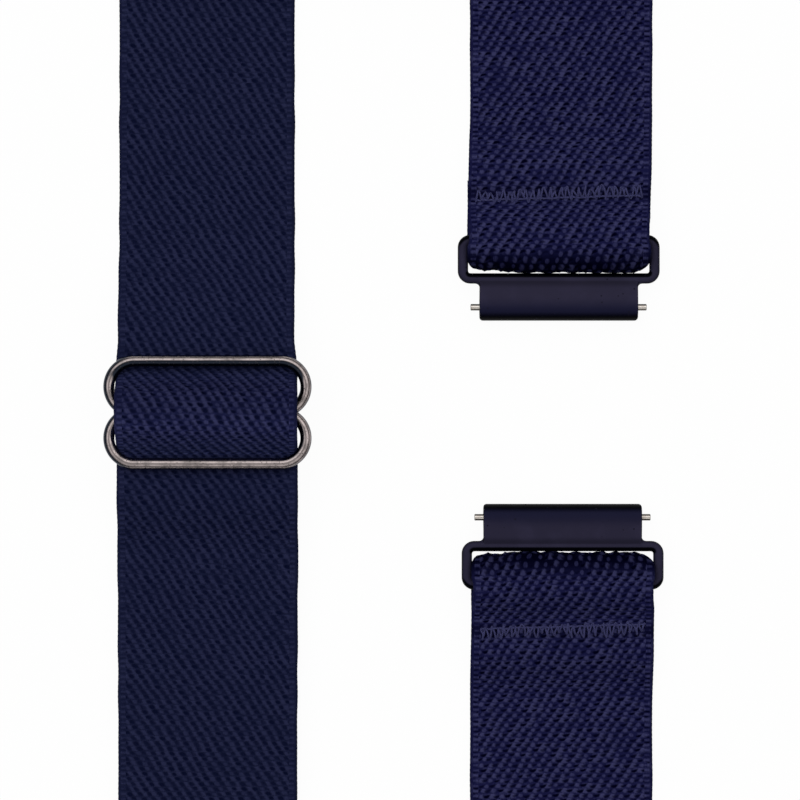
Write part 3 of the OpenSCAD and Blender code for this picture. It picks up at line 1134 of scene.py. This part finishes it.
@dataclass
class Strip:
    """A stretch of webbing that is modelled as one piece, with its pebbled weave."""

    name: str
    webbing: Webbing
    start: float
    end: float
    lean: Lean = Lean.FALLING
    fine: bool = True
    rib: float = 1.21
    row: float = 0.624
    depth: float = 0.17
    proud: float = 0.03
    rim: float = 0.55
    selvedge: float = 9.95
    plain: float = 10.58
    selvedge_depth: float = 0.10
    picot: float = 0.025
    inset: float = 0.05
    rounded: float = 0.97
    swell: float = 0.42
    swell_play: float = 0.17
    swell_slant: float = 0.08
    swell_fall: float = 0.55
    tuft: float = 0.16
    dip: float = 0.10
    corner: float = 0.35
    body_gap: float = 0.015
    row_drifts: Drifts = ((0.22, 7.0, 3), (0.08, 1.3, 4))
    rib_drifts: Drifts = ((0.16, 5.0, 5), (0.07, 1.1, 6))
    edge_drifts: Drifts = ((0.05, 3.0, 8),)
    swell_drifts: Drifts = ((1.0, 4.0, 31), (0.7, 0.7, 32))
    tuft_drifts: Drifts = ((1.0, 0.42, 33),)

    def _band(self) -> Piece:
        """Models the flat strip: a fine grid given a thickness.

        Returns:
            The band, from -1 to 1 across and along, with its faces at -1 and 1.
        """
        across, along = (6, 4) if self.fine else (4, 3)
        deselect()
        bpy.ops.mesh.primitive_grid_add(
            x_subdivisions=round(2 * LAYOUT.half_w / self.rib * across),
            y_subdivisions=round((self.end - self.start) / self.row * along), size=2)
        band = bpy.context.object
        apply_modifier(band, "SOLIDIFY", thickness=2.0, offset=0.0)
        return band

    def _relief(self, s: Array, rib: Array, row: Array, column: Array) -> Array:
        """Height of the weave above the webbing's nominal face.

        Args:
            s: Place across.
            rib: Rib number.
            row: Row number.
            column: Share of the slider column's look.

        Returns:
            One height for each point.
        """
        shape = CRISP.shape(rib, row) * (1 - column) + SOFT.shape(rib, row) * column
        pebbled = self.proud - self.depth * (1 - shape) / 2
        ribbed = self.proud - self.selvedge_depth * (1.2 - np.cos(2 * np.pi * row)) / 2
        ribbed = np.where(np.abs(s) > self.plain, self.proud - self.selvedge_depth / 2, ribbed)
        return np.where(np.abs(s) > self.selvedge, ribbed, pebbled)

    def _bulge(self, s: Array) -> Array:
        """How far the face swells where it stands upright round the connector's bar.

        Args:
            s: Place across.

        Returns:
            One height for each point.
        """
        zero, across = s * 0, self.webbing.side.sign * s / LAYOUT.half_w
        swell = self.swell + self.swell_play * drifts(s, zero, self.swell_drifts)
        swell += self.swell_slant * ease(across, -0.6, 0.3) - self.swell_fall * across**8
        return swell + self.tuft * np.clip(drifts(s, zero, self.tuft_drifts), 0, 1)

    def build(self, material: Material) -> Piece:
        """Models the strip and lays it in the strap.

        Args:
            material: Its finish.

        Returns:
            The finished piece.
        """
        band, web = self._band(), self.webbing
        flat = mesh_points(band)
        s, face = flat[:, 0] * LAYOUT.half_w, flat[:, 2] > 0
        t = self.start + (flat[:, 1] + 1) / 2 * (self.end - self.start)
        read = Reading(web, t)
        tilt, column = read.tilt(), read.column()
        row = t / self.row + drifts(s, t, self.row_drifts)
        rib = np.where(face, self.lean.value, 1) * s / self.rib + drifts(s, t, self.rib_drifts)
        outer = np.clip((np.abs(s) - LAYOUT.half_w + self.rim) / self.rim, 0, 1)
        half = LAYOUT.web_t / 2 * np.sqrt(1 - np.minimum(outer, self.rounded) ** 2)
        half += self._relief(s, rib, row, column)
        half += np.where(face, self._bulge(s) * tilt**2 - self.dip * read.pull(), 0)
        half *= np.where(face, 1, -1)
        s += np.sign(s) * outer * (self.picot * (np.cos(2 * np.pi * row) - 1) / 2
                                   + drifts(t, s * 0, self.edge_drifts) - self.inset)
        s *= 1 - self.corner / LAYOUT.half_w * tilt**8
        place = read.lay(s, half)
        kept = np.maximum(web.side.sign * place[:, 1], LAYOUT.body_y + self.body_gap)
        place[:, 1] = np.where(read.in_near, web.side.sign * kept, place[:, 1])
        set_mesh_points(band, place * MM)
        weave = band.data.attributes.new("weave", "FLOAT_VECTOR", "POINT")
        weave.data.foreach_set("vector", np.stack([rib, row, s / LAYOUT.half_w], 1)
                               .astype(np.float32).ravel())
        # These shares carry the painted shade at the bend and along the seam, and the painted light
        # over the slider's centre bar.
        shares = {"column": column, "opened": read.opened(), "stretched": read.stretched()}
        for name, share in shares.items():
            values = band.data.attributes.new(name, "FLOAT", "POINT")
            values.data.foreach_set("value", share.astype(np.float32))
        with editing(band):
            bpy.ops.mesh.normals_make_consistent(inside=False)
        return dress(band, self.name, material, 80)


def smooth_route(points: list[tuple[float, float, float]], between: int) -> Array:
    """Rounds a route through its points.

    Args:
        points: The route's points.
        between: New points in each run.

    Returns:
        The points of a smooth line through them all.
    """
    p = np.array(points, float)
    p = np.vstack([2 * p[0] - p[1], p, 2 * p[-1] - p[-2]])
    f = np.linspace(0, 1, between, endpoint=False)[:, None]
    runs = [0.5 * (2 * b + (c - a) * f + (2 * a - 5 * b + 4 * c - d) * f**2
                   + (3 * b - a - 3 * c + d) * f**3)
            for a, b, c, d in zip(p, p[1:], p[2:], p[3:])]
    return np.vstack(runs + [p[-2:-1]])


def tube(name: str, route: Array, radius: float, material: Material) -> Piece:
    """Models a round thread or wire along a route, closed at both ends.

    Args:
        name: The piece's name.
        route: Its middle line.
        radius: Its radius.
        material: Its finish.

    Returns:
        The finished piece.
    """
    deselect()
    bpy.ops.curve.primitive_nurbs_path_add()
    curve = bpy.context.object.data
    curve.splines.clear()
    spline = curve.splines.new("POLY")
    spline.points.add(len(route) - 1)
    spline.points.foreach_set("co", np.c_[route * MM, np.ones(len(route))].ravel())
    curve.dimensions = "3D"
    curve.bevel_depth, curve.bevel_resolution, curve.use_fill_caps = radius * MM, 1, True
    bpy.ops.object.convert(target="MESH")
    piece = bpy.context.object
    outward(piece)
    return dress(piece, name, material, 60)


@dataclass
class Seam:
    """One seam: a zigzag thread on the face or the back, with a straight row beside it."""

    name: str
    x: float
    y: float
    z: float
    sign: int
    seed: int
    half: float = 10.15
    pitch: float = 0.36
    tall: float = 1.5
    slope: float = 0.6
    thread_r: float = 0.12
    sink: float = 0.16
    arch: float = 0.06
    row_rise: float = 0.22

    def _route(self) -> Array:
        """Runs the zigzag across and comes back along its lower edge.

        Returns:
            The thread's middle line.
        """
        play = np.random.default_rng(self.seed).uniform
        steps = int(2 * self.half / self.pitch)
        points = []
        for i in range(steps + 1):
            f = i / steps
            x = -self.half + 2 * self.half * f + play(-0.16, 0.16)
            y = self.slope * (f - 0.5) + (-1 if i % 2 == 0 else 1) * self.tall / 2
            y += play(-0.55, 0.25) if i % 2 else play(-0.22, 0.28)
            if points:
                before, bow = points[-1], play(-0.2, 0.2)
                points.append(((before[0] + x) / 2 + bow, (before[1] + y) / 2,
                               self.arch + play(-0.05, 0.05)))
            points.append((x, y, -self.sink))
        for i in range(1, steps // 2 + 1):
            f = 1 - 2 * i / steps
            x = -self.half + 2 * self.half * f
            y = self.slope * (f - 0.5) - self.tall / 2 + self.row_rise
            points.append((x + self.pitch, y + play(-0.06, 0.06), self.arch * 0.6))
            points.append((x, y + play(-0.06, 0.06), -self.sink))
        return smooth_route(points, 5)

    def build(self, material: Material) -> Piece:
        """Models the thread in its place, mirrored where it lies on the back.

        Args:
            material: Its finish.

        Returns:
            The finished piece.
        """
        on_back = self.z < LAYOUT.table_z
        route = self._route() * (self.sign, self.sign, -1 if on_back else 1)
        return tube(self.name, route + (self.x, self.y, self.z), self.thread_r, material)


@dataclass
class Slider:
    """Double loop slider: two wire ovals that share their middle bar."""

    voxel: float = 0.08
    rounds: int = 6
    regain: float = 0.045
    dents: Drifts = ((0.02, 1.7, 11),)
    wire_sides: int = 32
    bend_steps: int = 96

    def _oval(self, y: float) -> Piece:
        """Models one oval: a torus whose halves are pulled apart.

        Args:
            y: Middle of the oval along Y.

        Returns:
            The oval in millimetres.
        """
        deselect()
        bpy.ops.mesh.primitive_torus_add(
            location=(0, y, 0), major_radius=LAYOUT.bar_pitch / 2, minor_radius=LAYOUT.wire_r,
            major_segments=self.bend_steps, minor_segments=self.wire_sides)
        oval = bpy.context.object
        place_in_mesh(oval)
        for way in (-1, 1):
            for part in (*oval.data.edges, *oval.data.polygons):
                part.select = False
            for vertex in oval.data.vertices:
                vertex.select = way * vertex.co.x > 1e-4
            bpy.ops.object.mode_set(mode="EDIT")
            bpy.ops.mesh.select_mode(type="VERT")
            bpy.ops.transform.translate(value=(way * LAYOUT.loop_x, 0, 0))
            bpy.ops.mesh.select_all(action="DESELECT")
            bpy.ops.object.mode_set(mode="OBJECT")
        return oval

    def build(self, material: Material) -> Piece:
        """Models the slider with its ovals fused at the waist.

        Args:
            material: Its finish.

        Returns:
            The finished piece.
        """
        ovals = [self._oval(way * LAYOUT.bar_pitch / 2) for way in (-1, 1)]
        make_active(ovals[0])
        ovals[1].select_set(True)
        bpy.ops.object.join()
        slider = bpy.context.object
        soften(slider, self.voxel, self.rounds)
        with editing(slider):
            bpy.ops.transform.shrink_fatten(value=self.regain)
        points = mesh_points(slider)
        points[:, 2] += drifts(points[:, 0], points[:, 1], self.dents)
        set_mesh_points(slider, (points + (LAYOUT.left_x, 0, LAYOUT.slider_z)) * MM)
        return dress(slider, "slider_wire", material, 70)


@dataclass
class Connector:
    """Cast end piece: a ring for the webbing and a body with the spring bar's bore."""

    side: Side
    voxel: float = 0.085
    rounds: int = 8

    def build(self, material: Material) -> Piece:
        """Models the casting with the soft edges that its coating leaves.

        Args:
            material: Its finish.

        Returns:
            The finished piece.
        """
        source = bpy.data.objects[f"{self.side.value}_connector"]
        casting = source.copy()
        casting.data = source.data.copy()
        for key in list(casting.keys()):
            del casting[key]
        casting.parent = None
        casting.matrix_world = Matrix.Identity(4)
        casting.data.materials.clear()
        bpy.context.scene.collection.objects.link(casting)
        outward(casting)
        soften(casting, self.voxel * MM, self.rounds)
        return dress(casting, f"{self.side.value}_connector_casting", material, 70)


@dataclass
class SpringBar:
    """Quick release spring bar of one connector, without its plain tube."""

    side: Side
    tip_r: float = 0.4
    tip_x: float = 10.85
    stem_x: float = 9.69
    stem_r: float = 0.56
    collar_x: float = 9.22
    collar_r: float = 0.67
    spigot_r: float = 0.26
    spigot_len: float = 1.2
    lever_collar: float = 2.75
    plain_collar: float = 0.6
    chamfer: float = 0.06
    knob_x: float = 7.67
    knob_r: float = 0.6
    knob_neck_r: float = 0.25
    knob_dish_r: float = 0.3
    knob_bevel: float = 0.12
    knob_root: float = -0.47
    knob_top: float = -0.95
    knob_end: float = -1.54
    coil_wire: float = 0.18
    coil_turns: int = 16
    coil_from: float = -6.36
    coil_to: float = 8.51
    coil_r: float = 0.45

    def _place(self, points: Array) -> Array:
        """Moves points from the bar's own axis, which runs along X, to the strap.

        Args:
            points: Points round the bar's axis.

        Returns:
            Places in the strap.
        """
        sign = self.side.sign
        x = self.side.centre_x + sign * points[:, 0]
        y = sign * (LAYOUT.ring_y - LAYOUT.barrel_y + points[:, 1])
        return np.stack([x, y, LAYOUT.ring_z + LAYOUT.barrel_z + points[:, 2]], 1)

    def _turned(self, name: str, profile: list[tuple[float, float]], upright: bool,
                material: Material) -> Piece:
        """Turns a piece from a disc that is extruded and scaled step by step.

        Args:
            name: The piece's name.
            profile: Place along its axis and radius of each step.
            upright: True for an axis along Z at the knob, False for the bar's axis.
            material: Its finish.

        Returns:
            The finished piece.
        """
        deselect()
        bpy.ops.mesh.primitive_circle_add(vertices=32, radius=profile[0][1], fill_type="NGON",
                                          location=(0, 0, profile[0][0]))
        piece = bpy.context.object
        place_in_mesh(piece)
        with editing(piece):
            for before, after in zip(profile, profile[1:]):
                bpy.ops.mesh.extrude_region_move(
                    TRANSFORM_OT_translate={"value": (0, 0, after[0] - before[0])})
                ratio = after[1] / before[1]
                bpy.ops.transform.resize(value=(ratio, ratio, 1), center_override=(0, 0, after[0]))
        points = mesh_points(piece)
        points = points - (self.knob_x, 0, 0) if upright else np.roll(points, 1, axis=1)
        set_mesh_points(piece, self._place(points) * MM)
        outward(piece)
        return dress(piece, f"{self.side.value}_{name}_turned", material, 30)

    def plunger(self, tip: Tip, material: Material) -> Piece:
        """Turns a plunger from its spigot over collar and stem to its chamfered tip.

        Args:
            tip: Which of the two.
            material: Its finish.

        Returns:
            The finished piece.
        """
        way, collar = (-1, self.lever_collar) if tip is Tip.LEVER else (1, self.plain_collar)
        cut, outer, inner = self.chamfer, self.collar_x, self.collar_x - collar
        root = inner - self.spigot_len
        steps = [(root, self.spigot_r - cut), (root + cut, self.spigot_r), (inner, self.spigot_r),
                 (inner, self.collar_r - cut), (inner + cut, self.collar_r),
                 (outer - cut, self.collar_r), (outer, self.collar_r - cut), (outer, self.stem_r),
                 (self.stem_x, self.stem_r), (self.stem_x, self.tip_r),
                 (self.tip_x - cut, self.tip_r), (self.tip_x, self.tip_r - cut)]
        steps = [(way * place, radius) for place, radius in steps]
        return self._turned(f"{tip.value}_plunger", steps, False, material)

    def knob(self, material: Material) -> Piece:
        """Turns the release knob, with a dished head.

        Args:
            material: Its finish.

        Returns:
            The finished piece.
        """
        neck, rim, top, end = self.knob_neck_r, self.knob_r, self.knob_top, self.knob_end
        dish_r, bevel = self.knob_dish_r, self.knob_bevel
        head = [(self.knob_root, neck), (top, neck), (top, rim - 0.08), (top - 0.07, rim),
                (end + bevel, rim), (end, rim - bevel), (end, dish_r), (end + 0.08, dish_r - 0.1)]
        return self._turned("release_knob", head, True, material)

    def coil(self, tip: Tip, material: Material) -> tuple[Piece, list[tuple]]:
        """Winds half of the coil spring, from its middle to one plunger.

        Args:
            tip: The plunger.
            material: Its finish.

        Returns:
            The finished piece, and its ends at the middle and at the plunger, in metres.
        """
        share = np.linspace(0, 0.5, 12 * self.coil_turns + 1) + 0.5 * (tip is Tip.PLAIN)
        angle = 2 * np.pi * self.coil_turns * share
        route = np.stack([self.coil_from + (self.coil_to - self.coil_from) * share,
                          self.coil_r * np.cos(angle), self.coil_r * np.sin(angle)], 1)
        coil = tube(f"{self.side.value}_bar_coil_{tip.value}", self._place(route),
                    self.coil_wire / 2, material)
        end = self.coil_from if tip is Tip.LEVER else self.coil_to
        ends = np.array([[(self.coil_from + self.coil_to) / 2, 0, 0], [end, 0, 0]])
        return coil, [tuple(place) for place in self._place(ends) * MM]


@dataclass
class Studio:
    """White table, plain soft light and a camera straight above the strap."""

    look_x: float = 1.907
    look_y: float = 1.513
    view: float = 98.4
    focus_z: float = 3.0
    lens: float = 180.0
    sensor: float = 36.0
    zenith: float = 1.42
    horizon: float = 0.05
    hood: float = 0.35
    shade: float = 0.62
    lamp_size: float = 1.15
    lamp_power: float = 3.0
    table_size: float = 3.0
    wall_height: float = 0.4

    def camera(self) -> None:
        """Makes the camera at the photograph's place above the strap."""
        data = bpy.data.cameras.new("camera")
        data.lens, data.sensor_width = self.lens, self.sensor
        data.clip_start, data.clip_end = 0.01, 100.0
        camera = bpy.data.objects.new("camera", data)
        distance = self.view * self.lens / self.sensor + self.focus_z
        camera.location = (self.look_x * MM, self.look_y * MM, distance * MM)
        bpy.context.scene.collection.objects.link(camera)
        bpy.context.scene.camera = camera

    @staticmethod
    def _whiten(piece: Piece, name: str, lift: float) -> Piece:
        """Makes a piece matt white: white to the eye and in reflections, with soft shadows.

        Args:
            piece: The piece.
            name: Its name.
            lift: Share of plain white where it is seen.

        Returns:
            The piece.
        """
        piece.name = name
        material = bpy.data.materials.new(f"{name}_white")
        material.use_nodes = True
        material.node_tree.nodes.clear()
        graph = Graph(material.node_tree)
        ray = graph.add("LightPath").outputs
        seen = graph.math("MAXIMUM", ray["Is Camera Ray"], ray["Is Glossy Ray"])
        seen = graph.math("MAXIMUM", seen, ray["Is Transmission Ray"])
        tone = graph.mix(seen, (0.35, 0.35, 0.36), (0.95, 0.95, 0.95))
        matt = graph.add("BsdfDiffuse", {"Color": tone})
        white = graph.add("Emission", {"Color": (1.0, 1.0, 1.0), "Strength": 1.0})
        share = graph.math("MULTIPLY", seen, lift)
        graph.add("OutputMaterial", {"Surface": graph.add("MixShader", {0: share, 1: matt,
                                                                        2: white})})
        piece.data.materials.append(material)
        return piece

    def table(self) -> None:
        """Makes the white table and a low white wall far round it."""
        deselect()
        bpy.ops.mesh.primitive_circle_add(vertices=96, radius=self.table_size, fill_type="NGON",
                                          location=(0, 0, -0.00003))
        table = self._whiten(bpy.context.object, "table", 0.96)
        deselect()
        bpy.ops.mesh.primitive_cylinder_add(
            vertices=96, radius=self.table_size - 0.1, depth=self.wall_height,
            end_fill_type="NOTHING", location=(0, 0, self.wall_height / 2))
        wall = self._whiten(bpy.context.object, "wall", 1.0)

    def light(self) -> None:
        """Lights the strap from a soft bright zenith and one large lamp."""
        world = bpy.data.worlds.new("studio")
        bpy.context.scene.world = world
        world.use_nodes = True
        graph = Graph(world.node_tree)
        _, north, up = graph.axes(graph.add("TexCoord").outputs["Generated"])
        strength = graph.spread(up, 0.3, 0.95, self.horizon, self.zenith)
        opening = graph.spread(up, 0.90, 0.985, 1.0, self.hood)
        aside = graph.spread(north, -0.45, 0.15, self.shade, 1.0)
        strength = graph.math("MULTIPLY", graph.math("MULTIPLY", strength, opening), aside)
        background = world.node_tree.nodes["Background"]
        background.inputs["Color"].default_value = (1.0, 1.0, 1.0, 1.0)
        graph.feed(background.inputs["Strength"], strength)
        lamp = bpy.data.lights.new("key", "AREA")
        lamp.shape, lamp.size, lamp.energy = "DISK", self.lamp_size, self.lamp_power
        key = bpy.data.objects.new("key", lamp)
        key.visible_glossy = False
        key.location = (-0.22, 0.50, 0.72)
        key.rotation_euler = (-key.location).to_track_quat("-Z", "Y").to_euler()
        bpy.context.scene.collection.objects.link(key)


class Strap:
    """The whole strap: builds each piece, hangs it on its body and reports it."""

    def __init__(self, finishes: Finishes) -> None:
        """Keeps the finishes and sets out both lengths of webbing."""
        self.finishes = finishes
        self.upper, self.lower = Webbing(Side.UPPER), Webbing(Side.LOWER)

    @staticmethod
    def _hang(piece: Piece, node: str, slot: str, body: str = "") -> None:
        """Lets a piece stand for a node of the frame, and reports it.

        Args:
            piece: The piece.
            node: The node it stands for.
            slot: The record's material slot; not used.
            body: The body it moves with; where it is empty, the piece is attached to none.
        """
        if body:
            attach(piece, body)
        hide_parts(node)
        log.info("%s: %d faces, for %s", piece.name, len(piece.data.polygons), node)

    def webs(self) -> None:
        """Builds both lengths of webbing, the upper one split into more pieces at the slider."""
        upper, lower, cloth = self.upper, self.lower, self.finishes.webbing
        for web, first in ((upper, Lean.RISING), (lower, Lean.FALLING)):
            side, near, far = web.side.value, web.turn_t + 2, web.far_t - 2
            for strip in (Strip(f"{side}_webbing_end", web, 0.0, near, first),
                          Strip(f"{side}_webbing_fold", web, near, web.split_t, first, False),
                          Strip(f"{side}_webbing_return", web, web.split_t, far, fine=False)):
                self._hang(strip.build(cloth), f"{side}_web", "webbing", f"{side}_strap")
        lengths, rows = upper.far.table()
        tail_t = upper.far_t + float(np.interp(LAYOUT.bar_pitch, -rows[:, 0], lengths))
        run = Strip("upper_webbing_run", upper, upper.far_t - 2, tail_t).build(cloth)
        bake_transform(run)
        self._hang(run, "upper_web", "webbing")
        tail = Strip("upper_webbing_tail", upper, tail_t, upper.end_t).build(cloth)
        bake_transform(tail)
        self._hang(tail, "upper_web", "webbing")
        loop = Strip("lower_webbing_loop", lower, lower.far_t - 2, lower.end_t, fine=False)
        self._hang(loop.build(cloth), "lower_web", "webbing", "lower_strap")

    def seams(self) -> None:
        """Builds the needle and bobbin threads of the three seams."""
        lay = LAYOUT
        top = 2 * lay.web_t + lay.lay_gap
        left_y = -lay.slider_fold_back + lay.seam_margin / 2
        spots = {"upper": (lay.upper_x, lay.stitch_y, 1, "upper_strap", top),
                 "lower": (lay.lower_x, -lay.stitch_y, -1, "lower_strap", top),
                 "slider": (lay.left_x, left_y, 1, "lower_strap", top - lay.pressed)}
        for seed, (key, (x, y, sign, body, height)) in enumerate(spots.items(), 20):
            for layer, z in (("needle", height), ("bobbin", lay.bobbin_z)):
                seam = Seam(f"{key}_{layer}_stitches", x, y, z, sign, seed)
                self._hang(seam.build(self.finishes.thread), f"{key}_{layer}_thread", "thread",
                           body)

    def metal(self) -> None:
        """Builds the slider, the connectors and the spring bars."""
        coats = self.finishes
        self._hang(Slider().build(coats.wire), "slider", "slider_metal", "lower_strap")
        for side in Side:
            key, bar = side.value, SpringBar(side)
            casting = Connector(side).build(coats.paint)
            self._hang(casting, f"{key}_connector", "connector_paint", f"{key}_end")
            for tip in Tip:
                name, body = f"{key}_{tip.value}_plunger", f"{key}_{tip.value}_tip"
                self._hang(bar.plunger(tip, coats.steel), name, "spring_steel", body)
            knob = bar.knob(coats.steel)
            self._hang(knob, f"{key}_release_knob", "spring_steel", f"{key}_lever_tip")
            for tip in Tip:
                coil, (middle, end) = bar.coil(tip, coats.steel)
                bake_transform(coil)
                self._hang(coil, f"{key}_bar_coil", "spring_steel")

    def tubes(self, nodes: dict[str, Piece]) -> None:
        """Dresses the spring bars' tubes, whose shape the frame already has.

        Args:
            nodes: The frame's nodes by name.
        """
        for side in Side:
            node = nodes[f"{side.value}_bar_tube"]
            node.data.materials.clear()
            node.data.materials.append(self.finishes.steel)
            log.info("%s: dressed", node.name)


def main() -> None:
    """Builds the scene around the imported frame."""
    logging.basicConfig(level=logging.INFO, format="%(name)s: %(message)s")
    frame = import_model()
    bpy.context.scene.view_settings.view_transform = "Standard"
    studio = Studio()
    studio.camera()
    strap = Strap(Finishes(Effects()))
    strap.webs()
    strap.seams()
    strap.metal()
    strap.tubes(frame["nodes"])
    studio.table()
    studio.light()


if __name__ == "__main__":
    main()
